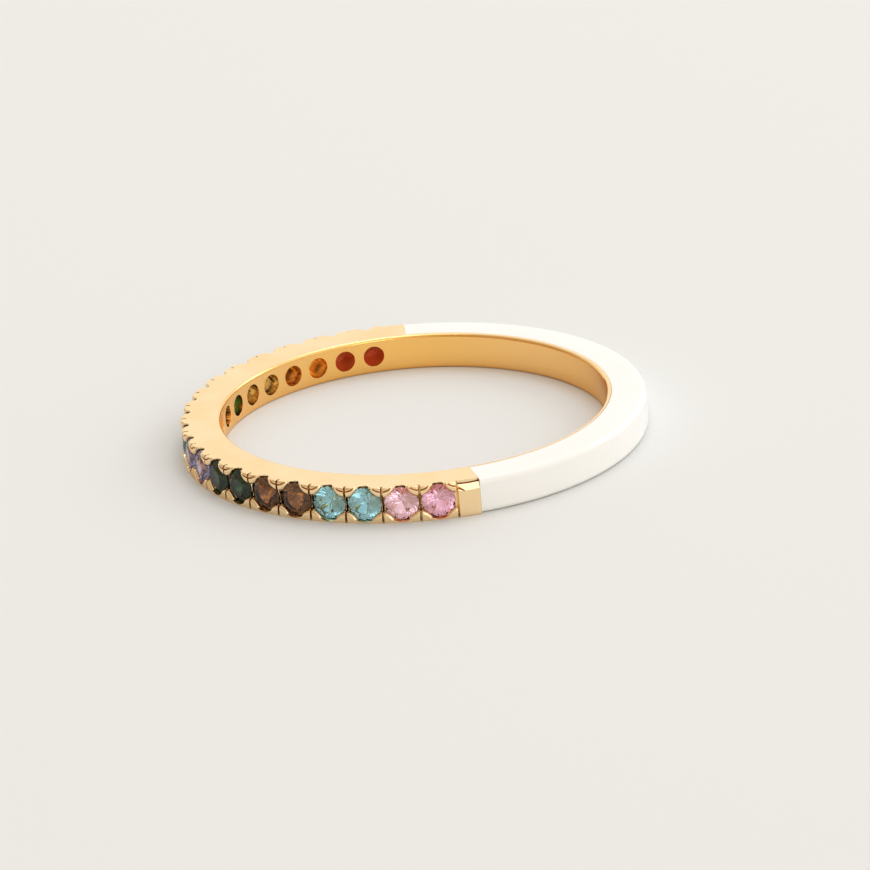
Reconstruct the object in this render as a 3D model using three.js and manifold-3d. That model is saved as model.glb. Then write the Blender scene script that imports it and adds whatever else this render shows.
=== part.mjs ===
// Stackable ring: a gold band, half of it set with a row of round stones, half of it enamelled.
// Millimetres, +Z up. The ring lies on its side: its axis is Z and the origin is the middle of the
// circle that it rests on. The middle of the row of stones faces -Y.
import * as THREE from 'three';
import { ConvexGeometry } from 'three/addons/geometries/ConvexGeometry.js';
import { mergeVertices } from 'three/addons/utils/BufferGeometryUtils.js';
import Module from 'manifold-3d';

const wasm = await Module();
wasm.setup();

// Band
const FINGER_DIAMETER = 17.3;
const BAND_WALL = 1.77;
const INNER_EDGE_WIDTH = 0.12;
const INNER_EDGE_HEIGHT = 0.26;
const OUTER_EDGE_BEVEL = 0.07;

// Round brilliant stones
const STONE_DIAMETER = 1.5;
const STONE_SPACING = 0.16;
const TABLE_SHARE = 0.56;
const STAR_SHARE = 0.5;
const LOWER_FACET_SHARE = 0.76;
const CROWN_ANGLE = THREE.MathUtils.degToRad(34.5);
const PAVILION_ANGLE = THREE.MathUtils.degToRad(40.8);
const GIRDLE_HEIGHT = 0.045;
const TABLE_SINK = 0.015;
const STONE_CLEARANCE = 0.02;

// Setting of the stones
const RAIL_MARGIN = 0.065;
const SEAT_CLEARANCE = 0.032;
const AZURE_DIAMETER = 0.95;
const RECESS_DEPTH = 0.12;
const RAIL_HEIGHT = 0.14;
const CHANNEL_DEPTH = 0.31;
const CHANNEL_HEIGHT = 0.64;
const NOTCH_WIDTH = 0.5;
const NOTCH_DEPTH = 0.38;
const LOBE_ROUND = 0.26;
const KERF_WIDTH = 0.07;
const KERF_DEPTH = 0.25;
const BEAD_DIAMETER = 0.42;
const BEAD_TOP_DIAMETER = 0.24;
const BEAD_HEIGHT = 0.2;
const BEAD_SINK = 0.01;
const BEAD_FROM_KERF = 0.19;
const BEAD_FROM_EDGE = 0.31;

// Plain gold tile at each end of the row of stones
const TILE_LENGTH = 1;
const TILE_BEVEL_WIDTH = 0.13;
const TILE_BEVEL_HEIGHT = 0.4;
const TILE_GROOVE_WIDTH = 0.07;
const TILE_GROOVE_DEPTH = 0.2;

// Enamel over the rest of the band
const RIM_WIDTH = 0.2;
const ENAMEL_THICKNESS = 0.35;
const ENAMEL_EDGE_ROUND = 0.3;
const ENAMEL_CLEARANCE = 0.025;

// Facets of the curved faces
const SEGMENTS_PER_PITCH = 2;
const BEAD_SIDES = 6;
const INNER_EDGE_SEGMENTS = 2;
const ENAMEL_EDGE_SEGMENTS = 3;
const NOTCH_SEGMENTS = 1;
const STONE_SIDES = 8;
const GIRDLE_SIDES = 2 * STONE_SIDES;

// Room that every cutter has past the faces that it cuts
const CUT_MARGIN = 0.5;
const MERGE_DISTANCE = 1e-6;

const GOLD = { color: 0xe3b778, roughness: 0.16, metalness: 1 };
const ENAMEL = { color: 0xf4f1ec, roughness: 0.12, metalness: 0 };

// The colours along the row, from the end near +X to the end near -X. Each is used for two stones.
const STONES_PER_COLOUR = 2;
const STONE_COLOURS = [
  { name: 'pink', color: 0xe3a3b4 },
  { name: 'aqua', color: 0x6cc0c8 },
  { name: 'brown', color: 0x5c4238 },
  { name: 'dark_green', color: 0x17372f },
  { name: 'violet', color: 0x7350a8 },
  { name: 'teal', color: 0x106f79 },
  { name: 'green', color: 0x2f9c5e },
  { name: 'yellow', color: 0xe6dc98 },
  { name: 'orange', color: 0xdd6c1c },
  { name: 'garnet', color: 0x7b2216 },
];

// Sizes that follow from the ones above
const INNER_RADIUS = FINGER_DIAMETER / 2;
const OUTER_RADIUS = INNER_RADIUS + BAND_WALL;
const BAND_HEIGHT = STONE_DIAMETER + 2 * RAIL_MARGIN;
const MID_HEIGHT = BAND_HEIGHT / 2;
const STONE_RADIUS = STONE_DIAMETER / 2;
const STONE_COUNT = STONE_COLOURS.length * STONES_PER_COLOUR;
const PITCH_LENGTH = STONE_DIAMETER + STONE_SPACING;
const PITCH = PITCH_LENGTH / OUTER_RADIUS;
const ROW_HALF_ANGLE = (STONE_COUNT * PITCH) / 2;
const TILE_ANGLE = TILE_LENGTH / OUTER_RADIUS;
const RING_SEGMENTS = Math.round((2 * Math.PI * SEGMENTS_PER_PITCH) / PITCH);

// A stone's own frame has +Z out of the ring, and its table is at Z = 0
const TABLE_RADIUS = STONE_RADIUS * TABLE_SHARE;
const GIRDLE_TOP = (TABLE_RADIUS - STONE_RADIUS) * Math.tan(CROWN_ANGLE);
const GIRDLE_BOTTOM = GIRDLE_TOP - GIRDLE_HEIGHT;

// Turns a closed three.js geometry into a solid that can be joined and cut.
function solid(geometry) {
  const bare = geometry.clone();
  bare.deleteAttribute('normal');
  bare.deleteAttribute('uv');
  const merged = mergeVertices(bare, MERGE_DISTANCE);
  const corners = merged.index.array;
  const triangles = [];
  for (let i = 0; i < corners.length; i += 3) {
    const [a, b, c] = [corners[i], corners[i + 1], corners[i + 2]];
    if (a !== b && b !== c && c !== a) {
      triangles.push(a, b, c);
    }
  }
  return new wasm.Manifold(new wasm.Mesh({
    numProp: 3,
    vertProperties: merged.attributes.position.array,
    triVerts: Uint32Array.from(triangles),
  }));
}

// Turns a solid back into a three.js geometry.
function geometryOf(body) {
  const mesh = body.getMesh();
  const geometry = new THREE.BufferGeometry();
  geometry.setAttribute('position', new THREE.BufferAttribute(mesh.vertProperties, 3));
  geometry.setIndex(new THREE.BufferAttribute(mesh.triVerts, 1));
  const flat = geometry.toNonIndexed();
  flat.computeVertexNormals();
  return flat;
}

function joined(bodies) {
  return bodies.reduce((all, body) => all.add(body));
}

// Turns a closed outline of [radius, height] corners about the Z axis.
function turned(outline, segments) {
  const points = outline.map(([radius, height]) => new THREE.Vector2(radius, height));
  points.push(points[0].clone());
  return new THREE.LatheGeometry(points, segments).rotateX(Math.PI / 2);
}

// A ring of equally spaced corners about Z.
function cornerRing(radius, level, count, turn) {
  const corners = [];
  for (let i = 0; i < count; i += 1) {
    const angle = turn + (2 * Math.PI * i) / count;
    corners.push(new THREE.Vector3(radius * Math.cos(angle), radius * Math.sin(angle), level));
  }
  return corners;
}

// How far the main facets, which meet the girdle at its corners, are from it at a facet's tip.
function tipRise(tipRadius, facetAngle) {
  const halfSide = Math.PI / STONE_SIDES;
  return (STONE_RADIUS - tipRadius * Math.cos(halfSide)) * Math.tan(facetAngle);
}

// A round brilliant: table, stars, kites and upper facets, girdle, lower facets and mains.
function brilliantStone() {
  const halfSide = Math.PI / STONE_SIDES;
  const tableDistance = TABLE_RADIUS * Math.cos(halfSide);
  const starTip = tableDistance + STAR_SHARE * (STONE_RADIUS - tableDistance);
  const starLevel = GIRDLE_TOP + tipRise(starTip, CROWN_ANGLE);
  const lowerTip = STONE_RADIUS * (1 - LOWER_FACET_SHARE);
  const lowerLevel = GIRDLE_BOTTOM - tipRise(lowerTip, PAVILION_ANGLE);
  const culetLevel = GIRDLE_BOTTOM - STONE_RADIUS * Math.tan(PAVILION_ANGLE);
  return new ConvexGeometry([
    ...cornerRing(TABLE_RADIUS, 0, STONE_SIDES, 0),
    ...cornerRing(starTip, starLevel, STONE_SIDES, halfSide),
    ...cornerRing(STONE_RADIUS, GIRDLE_TOP, GIRDLE_SIDES, 0),
    ...cornerRing(STONE_RADIUS, GIRDLE_BOTTOM, GIRDLE_SIDES, 0),
    ...cornerRing(lowerTip, lowerLevel, STONE_SIDES, halfSide),
    new THREE.Vector3(0, 0, culetLevel),
  ]);
}

// The room that a stone takes under the beads, with its clearance all round.
function stoneRoom() {
  const halfSide = Math.PI / STONE_SIDES;
  const radius = STONE_RADIUS + STONE_CLEARANCE;
  const cornerRadius = radius / Math.cos(halfSide);
  const top = GIRDLE_TOP + STONE_CLEARANCE / 2;
  const bottom = -BEAD_HEIGHT - CUT_MARGIN;
  const outline = [
    [0, bottom],
    [cornerRadius, bottom],
    [cornerRadius, top],
    [0, top + radius * Math.tan(CROWN_ANGLE)],
  ];
  return turned(outline, STONE_SIDES).rotateZ(Math.PI / 2 + halfSide);
}

// The seat of a stone: a bore over its girdle, a cone under it and an open hole to the finger.
function seatCutter() {
  const boreRadius = STONE_RADIUS + SEAT_CLEARANCE;
  const azureRadius = AZURE_DIAMETER / 2;
  const coneTop = GIRDLE_BOTTOM - SEAT_CLEARANCE / 2;
  const coneBottom = coneTop - (boreRadius - azureRadius) * Math.tan(PAVILION_ANGLE);
  const outline = [
    [0, -BAND_WALL - CUT_MARGIN],
    [azureRadius, -BAND_WALL - CUT_MARGIN],
    [azureRadius, coneBottom],
    [boreRadius, coneTop],
    [boreRadius, CUT_MARGIN],
    [0, CUT_MARGIN],
  ];
  return turned(outline, GIRDLE_SIDES).rotateZ(Math.PI / 2);
}

// The scalloped notch over a stone, in the upper edge only: a round-ended slot whose mouth flares
// into the lobes beside it.
function notchCutter() {
  const half = NOTCH_WIDTH / 2;
  const straight = NOTCH_DEPTH - half;
  const mouth = half + LOBE_ROUND;
  const shape = new THREE.Shape();
  shape.moveTo(-mouth, CUT_MARGIN);
  shape.lineTo(-mouth, 0);
  shape.absellipse(-mouth, -straight, LOBE_ROUND, straight, Math.PI / 2, 0, true, 0);
  shape.absarc(0, -straight, half, Math.PI, 1.5 * Math.PI, false);
  shape.absarc(0, -straight, half, 1.5 * Math.PI, 2 * Math.PI, false);
  shape.absellipse(mouth, -straight, LOBE_ROUND, straight, Math.PI, Math.PI / 2, true, 0);
  shape.lineTo(mouth, CUT_MARGIN);
  shape.closePath();
  const length = MID_HEIGHT + CUT_MARGIN;
  return new THREE.ExtrudeGeometry(shape, {
    depth: length,
    bevelEnabled: false,
    curveSegments: NOTCH_SEGMENTS,
  })
    .translate(0, 0, -length)
    .rotateX(Math.PI / 2);
}

// A thin saw cut through a lobe.
function kerfCutter() {
  const depth = KERF_DEPTH + CUT_MARGIN;
  return new THREE.BoxGeometry(KERF_WIDTH, BAND_HEIGHT + 2 * CUT_MARGIN, depth)
    .translate(0, 0, CUT_MARGIN - depth / 2);
}

// The beads at both ends of a lobe, on one side of its saw cut, in the frame of that cut.
function lobeBeads(side) {
  const reach = side * BEAD_FROM_KERF;
  const rise = MID_HEIGHT - BEAD_FROM_EDGE;
  const level = -BEAD_SINK - BEAD_HEIGHT / 2;
  return [-rise, rise].map((height) => new THREE.CylinderGeometry(
    BEAD_TOP_DIAMETER / 2, BEAD_DIAMETER / 2, BEAD_HEIGHT, BEAD_SIDES)
    .rotateX(Math.PI / 2)
    .translate(reach, height, level));
}

// Moves a shape from a stone's own frame to its place on the ring.
function onRing(geometry, angle) {
  return geometry
    .clone()
    .rotateX(Math.PI / 2)
    .translate(0, -OUTER_RADIUS, MID_HEIGHT)
    .rotateZ(angle);
}

// A wedge of the whole height between two angles, measured from -Y towards +X.
function sector(from, to) {
  const reach = 2 * OUTER_RADIUS;
  const steps = Math.max(2, Math.ceil((to - from) / (Math.PI / 6)));
  const shape = new THREE.Shape();
  shape.moveTo(0, 0);
  for (let i = 0; i <= steps; i += 1) {
    const angle = from + ((to - from) * i) / steps;
    shape.lineTo(reach * Math.sin(angle), -reach * Math.cos(angle));
  }
  shape.closePath();
  const geometry = new THREE.ExtrudeGeometry(shape, {
    depth: BAND_HEIGHT + 2 * CUT_MARGIN,
    bevelEnabled: false,
  });
  return solid(geometry.translate(0, 0, -CUT_MARGIN));
}

// Corners of a rounded edge: a quarter of an ellipse round the given centre.
function roundedEdge(centre, width, height, from, segments) {
  const corners = [];
  for (let i = 0; i <= segments; i += 1) {
    const angle = from + ((Math.PI / 2) * i) / segments;
    corners.push([
      centre[0] + width * Math.cos(angle),
      centre[1] + height * Math.sin(angle),
    ]);
  }
  return corners;
}

// The plain band before anything is cut: softly rounded edges towards the finger.
function bandBlank() {
  const edgeRadius = INNER_RADIUS + INNER_EDGE_WIDTH;
  const lowEdge = [edgeRadius, INNER_EDGE_HEIGHT];
  const highEdge = [edgeRadius, BAND_HEIGHT - INNER_EDGE_HEIGHT];
  const edge = (centre, from) => roundedEdge(
    centre, INNER_EDGE_WIDTH, INNER_EDGE_HEIGHT, from, INNER_EDGE_SEGMENTS);
  const outline = [
    [OUTER_RADIUS - OUTER_EDGE_BEVEL, 0],
    [OUTER_RADIUS, OUTER_EDGE_BEVEL],
    [OUTER_RADIUS, BAND_HEIGHT - OUTER_EDGE_BEVEL],
    [OUTER_RADIUS - OUTER_EDGE_BEVEL, BAND_HEIGHT],
    ...edge(highEdge, Math.PI / 2),
    ...edge(lowEdge, Math.PI),
  ];
  return solid(turned(outline, RING_SEGMENTS));
}

// The C-shaped section of the enamel, grown by a clearance on the sides that face the gold.
function enamelOutline(clearance, outerRadius, overhang, edgeRound) {
  const inner = INNER_RADIUS + RIM_WIDTH + ENAMEL_CLEARANCE - clearance;
  const under = ENAMEL_THICKNESS + clearance;
  const roundRadius = outerRadius - edgeRound;
  const edge = (height, from) => roundedEdge(
    [roundRadius, height], edgeRound, edgeRound, from, ENAMEL_EDGE_SEGMENTS);
  return [
    [inner, -overhang],
    ...edge(edgeRound - overhang, -Math.PI / 2),
    ...edge(BAND_HEIGHT + overhang - edgeRound, 0),
    [inner, BAND_HEIGHT + overhang],
    [inner, BAND_HEIGHT - under],
    [OUTER_RADIUS - under, BAND_HEIGHT - under],
    [OUTER_RADIUS - under, under],
    [inner, under],
  ];
}

function enamelBody() {
  const clearanceAngle = ENAMEL_CLEARANCE / OUTER_RADIUS;
  const start = ROW_HALF_ANGLE + TILE_ANGLE + clearanceAngle;
  const outline = enamelOutline(0, OUTER_RADIUS, 0, ENAMEL_EDGE_ROUND);
  return solid(turned(outline, RING_SEGMENTS)).intersect(sector(start, 2 * Math.PI - start));
}

function enamelPocket() {
  const start = ROW_HALF_ANGLE + TILE_ANGLE;
  const reach = OUTER_RADIUS + CUT_MARGIN;
  const outline = enamelOutline(ENAMEL_CLEARANCE, reach, CUT_MARGIN / 2, CUT_MARGIN / 4);
  return solid(turned(outline, RING_SEGMENTS)).intersect(sector(start, 2 * Math.PI - start));
}

// The shallow recess between the rails and the deeper channel between the stones.
function rowCutter() {
  const reach = OUTER_RADIUS + CUT_MARGIN;
  const recess = OUTER_RADIUS - RECESS_DEPTH;
  const channel = OUTER_RADIUS - CHANNEL_DEPTH;
  const channelHalf = CHANNEL_HEIGHT / 2;
  const outline = [
    [reach, RAIL_HEIGHT],
    [reach, BAND_HEIGHT - RAIL_HEIGHT],
    [recess, BAND_HEIGHT - RAIL_HEIGHT],
    [recess, MID_HEIGHT + channelHalf],
    [channel, MID_HEIGHT + channelHalf],
    [channel, MID_HEIGHT - channelHalf],
    [recess, MID_HEIGHT - channelHalf],
    [recess, RAIL_HEIGHT],
  ];
  return solid(turned(outline, RING_SEGMENTS)).intersect(sector(-ROW_HALF_ANGLE, ROW_HALF_ANGLE));
}

// The bevel and the fine groove over it, along the upper edge of both tiles.
function tileCutter() {
  const groove = OUTER_RADIUS - TILE_BEVEL_WIDTH;
  const reach = OUTER_RADIUS + CUT_MARGIN;
  const above = BAND_HEIGHT + CUT_MARGIN;
  const outline = [
    [reach, above],
    [groove - TILE_GROOVE_WIDTH, above],
    [groove - TILE_GROOVE_WIDTH / 2, BAND_HEIGHT - TILE_GROOVE_DEPTH],
    [groove, BAND_HEIGHT - TILE_GROOVE_DEPTH / 2],
    [OUTER_RADIUS, BAND_HEIGHT - TILE_BEVEL_HEIGHT],
    [reach, BAND_HEIGHT - TILE_BEVEL_HEIGHT],
  ];
  const tiles = sector(ROW_HALF_ANGLE, ROW_HALF_ANGLE + TILE_ANGLE)
    .add(sector(-ROW_HALF_ANGLE - TILE_ANGLE, -ROW_HALF_ANGLE));
  return solid(turned(outline, RING_SEGMENTS)).intersect(tiles);
}

function stoneAngle(index) {
  return ((STONE_COUNT - 1) / 2 - index) * PITCH;
}

function bandBody() {
  const cuts = [];
  const beads = [];
  const rooms = [];
  for (let index = 0; index < STONE_COUNT; index += 1) {
    const angle = stoneAngle(index);
    cuts.push(solid(onRing(seatCutter(), angle)));
    cuts.push(solid(onRing(notchCutter(), angle)));
    rooms.push(solid(onRing(stoneRoom().translate(0, 0, -TABLE_SINK), angle)));
    for (const side of [-1, 1]) {
      for (const bead of lobeBeads(-side)) {
        beads.push(solid(onRing(bead, angle + (side * PITCH) / 2)));
      }
    }
  }
  const kerfs = [];
  for (let index = 0; index <= STONE_COUNT; index += 1) {
    kerfs.push(solid(onRing(kerfCutter(), stoneAngle(index) + PITCH / 2)));
  }
  return bandBlank()
    .subtract(enamelPocket())
    .subtract(rowCutter())
    .subtract(tileCutter())
    .subtract(joined(cuts))
    .add(joined(beads).subtract(joined(rooms)))
    .subtract(joined(kerfs));
}

function namedMesh(name, geometry, look) {
  const mesh = new THREE.Mesh(geometry, new THREE.MeshStandardMaterial(look));
  mesh.name = name;
  return mesh;
}

// A stone stands in a group that is turned to its place along the row.
function placedStone(index) {
  const colour = STONE_COLOURS[Math.floor(index / STONES_PER_COLOUR)].color;
  const name = `stone_${String(index + 1).padStart(2, '0')}`;
  const mesh = namedMesh(name, brilliantStone(), { color: colour, roughness: 0.03, metalness: 0 });
  mesh.rotation.x = Math.PI / 2;
  mesh.position.set(0, TABLE_SINK - OUTER_RADIUS, MID_HEIGHT);
  const seat = new THREE.Group();
  seat.rotation.z = stoneAngle(index);
  seat.add(mesh);
  return seat;
}

const ring = new THREE.Group();
ring.name = 'stackable_ring';
ring.add(namedMesh('band', geometryOf(bandBody()), GOLD));
ring.add(namedMesh('enamel', geometryOf(enamelBody()), ENAMEL));
for (let index = 0; index < STONE_COUNT; index += 1) {
  ring.add(placedStone(index));
}

export default ring;
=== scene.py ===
"""Looks of a stackable ring: gold, white enamel and a row of round stones in ten colours."""

import logging
import math
from dataclasses import dataclass, field
from enum import Enum

import bpy
from mathutils import Matrix, Vector


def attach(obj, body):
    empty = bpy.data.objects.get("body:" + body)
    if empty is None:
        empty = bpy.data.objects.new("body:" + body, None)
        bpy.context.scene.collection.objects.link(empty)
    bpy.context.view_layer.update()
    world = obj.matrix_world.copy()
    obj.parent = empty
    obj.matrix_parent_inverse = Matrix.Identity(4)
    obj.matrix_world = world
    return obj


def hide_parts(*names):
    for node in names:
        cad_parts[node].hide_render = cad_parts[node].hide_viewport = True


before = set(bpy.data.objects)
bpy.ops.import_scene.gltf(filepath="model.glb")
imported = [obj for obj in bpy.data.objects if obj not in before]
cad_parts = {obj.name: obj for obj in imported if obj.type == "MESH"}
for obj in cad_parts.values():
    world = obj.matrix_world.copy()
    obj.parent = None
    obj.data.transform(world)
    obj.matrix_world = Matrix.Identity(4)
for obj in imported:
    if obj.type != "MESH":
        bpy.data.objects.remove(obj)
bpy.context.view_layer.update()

LOG = logging.getLogger("stackable_ring")

Shape = bpy.types.Object
Material = bpy.types.Material
Tree = bpy.types.NodeTree
Socket = bpy.types.NodeSocket
Pair = tuple[float, float]
Triple = tuple[float, float, float]

MILLIMETRE = 0.001
CUT_MARGIN = 1.0
MERGE_DISTANCE = 1e-5
LEVEL_COSINE = 0.9998
PLAIN_TURN = math.radians(8)
NORMAL_WEIGHT = 60
PATTERN_ENDS = (0.3, 0.7)
COLOUR_ENDS = (0.35, 0.65)
DARK_REFRACTION = 1.5


class Join(Enum):
    """How one shape is worked into another."""

    CUT = "DIFFERENCE"
    FUSE = "UNION"
    TRIM = "INTERSECT"


class Part(Enum):
    """What is marked on a shape: the name of its kind, and the bevel's name for it."""

    CORNERS = ("VERT", "VERTICES")
    EDGES = ("EDGE", "EDGES")


class Gem(Enum):
    """The ten colours of stone, in their order along the row."""

    PINK = "gem_pink"
    AQUA = "gem_aqua"
    BROWN = "gem_brown"
    DARK_GREEN = "gem_dark_green"
    VIOLET = "gem_violet"
    TEAL = "gem_teal"
    GREEN = "gem_green"
    YELLOW = "gem_yellow"
    ORANGE = "gem_orange"
    GARNET = "gem_garnet"


@dataclass(frozen=True)
class RingSizes:
    """Sizes of the ring in millimetres, the same as those of its solids."""

    finger_diameter: float = 17.3
    wall: float = 1.77
    stone_diameter: float = 1.5
    stone_spacing: float = 0.16
    stone_count: int = 20
    rail_margin: float = 0.065
    tile_length: float = 1.0
    rim_width: float = 0.2
    enamel_thickness: float = 0.35
    enamel_gap: float = 0.008
    crown_angle: float = math.radians(34.5)
    pavilion_angle: float = math.radians(40.8)
    table_share: float = 0.56
    girdle_height: float = 0.045
    table_sink: float = 0.015

    @property
    def inner(self) -> float:
        """Radius of the wall towards the finger."""
        return self.finger_diameter / 2

    @property
    def outer(self) -> float:
        """Radius of the outer face."""
        return self.inner + self.wall

    @property
    def half_height(self) -> float:
        """Half of the band's height."""
        return self.stone_diameter / 2 + self.rail_margin

    @property
    def pitch_length(self) -> float:
        """Distance from stone to stone along the outer face."""
        return self.stone_diameter + self.stone_spacing

    @property
    def pitch(self) -> float:
        """Angle from stone to stone."""
        return self.pitch_length / self.outer

    @property
    def row_end(self) -> float:
        """Angle from the middle of the row to its end."""
        return self.stone_count * self.pitch / 2

    @property
    def tile_end(self) -> float:
        """Angle from the middle of the row to the far side of a tile."""
        return self.row_end + self.tile_length / self.outer

    @property
    def girdle_depth(self) -> float:
        """How far the girdle's upper edge lies under the outer face."""
        radius = self.stone_diameter / 2
        return self.table_sink + radius * (1 - self.table_share) * math.tan(self.crown_angle)


@dataclass(frozen=True)
class Arc:
    """A stretch round the ring: angles from -Y towards +X, and its steps."""

    start: float
    sweep: float
    steps: int


@dataclass(frozen=True)
class Bar:
    """A bar's section: radii and heights in millimetres, with rounded corners."""

    inner: float
    outer: float
    low: float
    high: float
    inner_round: float = 0.0
    outer_round: float = 0.0
    round_steps: int = 6


def place(radius: float, angle: float, height: float = 0.0) -> Vector:
    """Gives a point on the ring.

    Args:
        radius: distance from the ring's axis.
        angle: angle from -Y towards +X.
        height: height over the middle of the band.

    Returns:
        The point.
    """
    return Vector((radius * math.sin(angle), -radius * math.cos(angle), height))


def clear_selection() -> None:
    """Leaves nothing selected, in object mode."""
    if bpy.context.object and bpy.context.object.mode != "OBJECT":
        bpy.ops.object.mode_set(mode="OBJECT")
    bpy.ops.object.select_all(action="DESELECT")


def pick(shape: Shape) -> Shape:
    """Makes one shape the selected and active one.

    Args:
        shape: the shape to select.

    Returns:
        The same shape.
    """
    clear_selection()
    shape.select_set(True)
    bpy.context.view_layer.objects.active = shape
    return shape


def settle(shape: Shape) -> Shape:
    """Applies a shape's place, turn and scale to its mesh.

    Args:
        shape: the shape to settle.

    Returns:
        The same shape.
    """
    pick(shape)
    bpy.ops.object.transform_apply(location=True, rotation=True, scale=True)
    return shape


def apply_modifier(shape: Shape, kind: str, **settings: object) -> None:
    """Adds one modifier to a shape and applies it.

    Args:
        shape: the shape to change.
        kind: the modifier's type.
        **settings: the modifier's own settings.
    """
    modifier = pick(shape).modifiers.new(kind.lower(), kind)
    for name, value in settings.items():
        setattr(modifier, name, value)
    bpy.ops.object.modifier_apply(modifier=modifier.name)


def work(shape: Shape, tool: Shape, how: Join) -> Shape:
    """Cuts, fuses or trims a shape with another one, which is used up.

    Args:
        shape: the shape that is kept.
        tool: the shape that is used up.
        how: cut it out, fuse it on, or trim to it.

    Returns:
        The shape.
    """
    apply_modifier(shape, "BOOLEAN", object=tool, operation=how.value, solver="MANIFOLD")
    spent = tool.data
    bpy.data.objects.remove(tool)
    bpy.data.meshes.remove(spent)
    return shape


def face_outwards(shape: Shape) -> Shape:
    """Closes a shape's holes and turns its faces out.

    Args:
        shape: the shape to mend.

    Returns:
        The same shape.
    """
    pick(shape)
    bpy.ops.object.mode_set(mode="EDIT")
    bpy.ops.mesh.select_all(action="SELECT")
    bpy.ops.mesh.remove_doubles(threshold=MERGE_DISTANCE)
    bpy.ops.mesh.fill_holes(sides=0)
    bpy.ops.mesh.select_all(action="SELECT")
    bpy.ops.mesh.normals_make_consistent(inside=False)
    bpy.ops.object.mode_set(mode="OBJECT")
    return shape


def mark(shape: Shape, part: Part, chosen: list[int]) -> None:
    """Opens a shape for editing with some of its corners or edges selected.

    Args:
        shape: the shape.
        part: whether corners or edges are meant.
        chosen: their numbers.
    """
    pick(shape)
    bpy.ops.object.mode_set(mode="EDIT")
    bpy.ops.mesh.select_mode(type=part.value[0])
    bpy.ops.mesh.select_all(action="DESELECT")
    bpy.ops.object.mode_set(mode="OBJECT")
    members = shape.data.vertices if part is Part.CORNERS else shape.data.edges
    for number in chosen:
        members[number].select = True
    bpy.ops.object.mode_set(mode="EDIT")


def bevel(shape: Shape, part: Part, chosen: list[int], size: float, steps: int) -> None:
    """Rounds some corners or edges of a shape.

    Args:
        shape: the shape.
        part: whether corners or edges are meant.
        chosen: their numbers.
        size: how far the rounding reaches.
        steps: how many steps each rounding gets.
    """
    mark(shape, part, chosen)
    bpy.ops.mesh.bevel(offset=size, segments=steps, affect=part.value[1], clamp_overlap=False)
    bpy.ops.mesh.select_mode(type="VERT")
    bpy.ops.object.mode_set(mode="OBJECT")


def spun_bar(bar: Bar, arc: Arc) -> Shape:
    """Spins a bar's section round the ring's axis.

    Args:
        bar: the section.
        arc: where it starts and how far it goes.

    Returns:
        The closed shape.
    """
    middle = (bar.inner + bar.outer) / 2
    bpy.ops.mesh.primitive_plane_add(
        size=1,
        location=place(middle, arc.start, (bar.low + bar.high) / 2),
        rotation=(0, math.pi / 2, arc.start),
    )
    shape = bpy.context.object
    shape.scale = (bar.high - bar.low, bar.outer - bar.inner, 1)
    settle(shape)
    for size, inward in ((bar.inner_round, True), (bar.outer_round, False)):
        if size > 0:
            chosen = [
                v.index for v in shape.data.vertices if (v.co.xy.length < middle) == inward
            ]
            bevel(shape, Part.CORNERS, chosen, size, bar.round_steps)
    pick(shape)
    bpy.ops.object.mode_set(mode="EDIT")
    bpy.ops.mesh.select_all(action="SELECT")
    bpy.ops.mesh.spin(
        steps=arc.steps, dupli=False, angle=-arc.sweep, center=(0, 0, 0), axis=(0, 0, 1)
    )
    bpy.ops.object.mode_set(mode="OBJECT")
    return face_outwards(shape)


def slice_off(shape: Shape, point: Vector, outward: Vector, close: bool) -> None:
    """Cuts away all of a shape that lies past a plane.

    Args:
        shape: the shape to cut.
        point: a point of the plane.
        outward: the direction of the side that goes.
        close: whether the cut is closed with a face.
    """
    pick(shape)
    bpy.ops.object.mode_set(mode="EDIT")
    bpy.ops.mesh.select_all(action="SELECT")
    bpy.ops.mesh.bisect(
        plane_co=point,
        plane_no=outward,
        clear_outer=True,
        use_fill=close,
        threshold=MERGE_DISTANCE,
    )
    bpy.ops.object.mode_set(mode="OBJECT")


def sharpen(shape: Shape, from_y: float, angle: float) -> None:
    """Keeps the flat faces' borders crisp, and past a line every edge that turns enough.

    Args:
        shape: the shape, smoothed already.
        from_y: where the plain stretch starts, along Y.
        angle: how far an edge of the plain stretch turns at least.
    """
    beside = {}
    for face in shape.data.polygons:
        for key in face.edge_keys:
            beside.setdefault(key, []).append(face.normal)
    for edge in shape.data.edges:
        one, other = beside[edge.key]
        turns = one.angle(other, 0.0)
        level = (abs(one.z) > LEVEL_COSINE) != (abs(other.z) > LEVEL_COSINE)
        plain = min(shape.data.vertices[number].co.y for number in edge.vertices) > from_y
        if turns > angle and (plain or level):
            edge.use_edge_sharp = True


def finish_piece(
    shape: Shape, name: str, sizes: RingSizes, smooth_angle: float, plain_from: float
) -> Shape:
    """Brings a shape from its bench scale to its place in the frame and smooths it.

    Args:
        shape: the shape, in millimetres round the middle of the band.
        name: the piece's name.
        sizes: the ring's sizes.
        smooth_angle: edges flatter than this are shaded smooth.
        plain_from: past this line along Y edges stay crisp at a smaller angle.

    Returns:
        The finished piece.
    """
    shape.name = name
    shape.data.name = name
    shape.location = (0, 0, sizes.half_height * MILLIMETRE)
    shape.scale = (MILLIMETRE,) * 3
    settle(shape)
    bpy.ops.object.shade_smooth_by_angle(angle=smooth_angle)
    sharpen(shape, plain_from * MILLIMETRE, PLAIN_TURN)
    apply_modifier(shape, "WEIGHTED_NORMAL", keep_sharp=True, weight=NORMAL_WEIGHT)
    return shape


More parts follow.
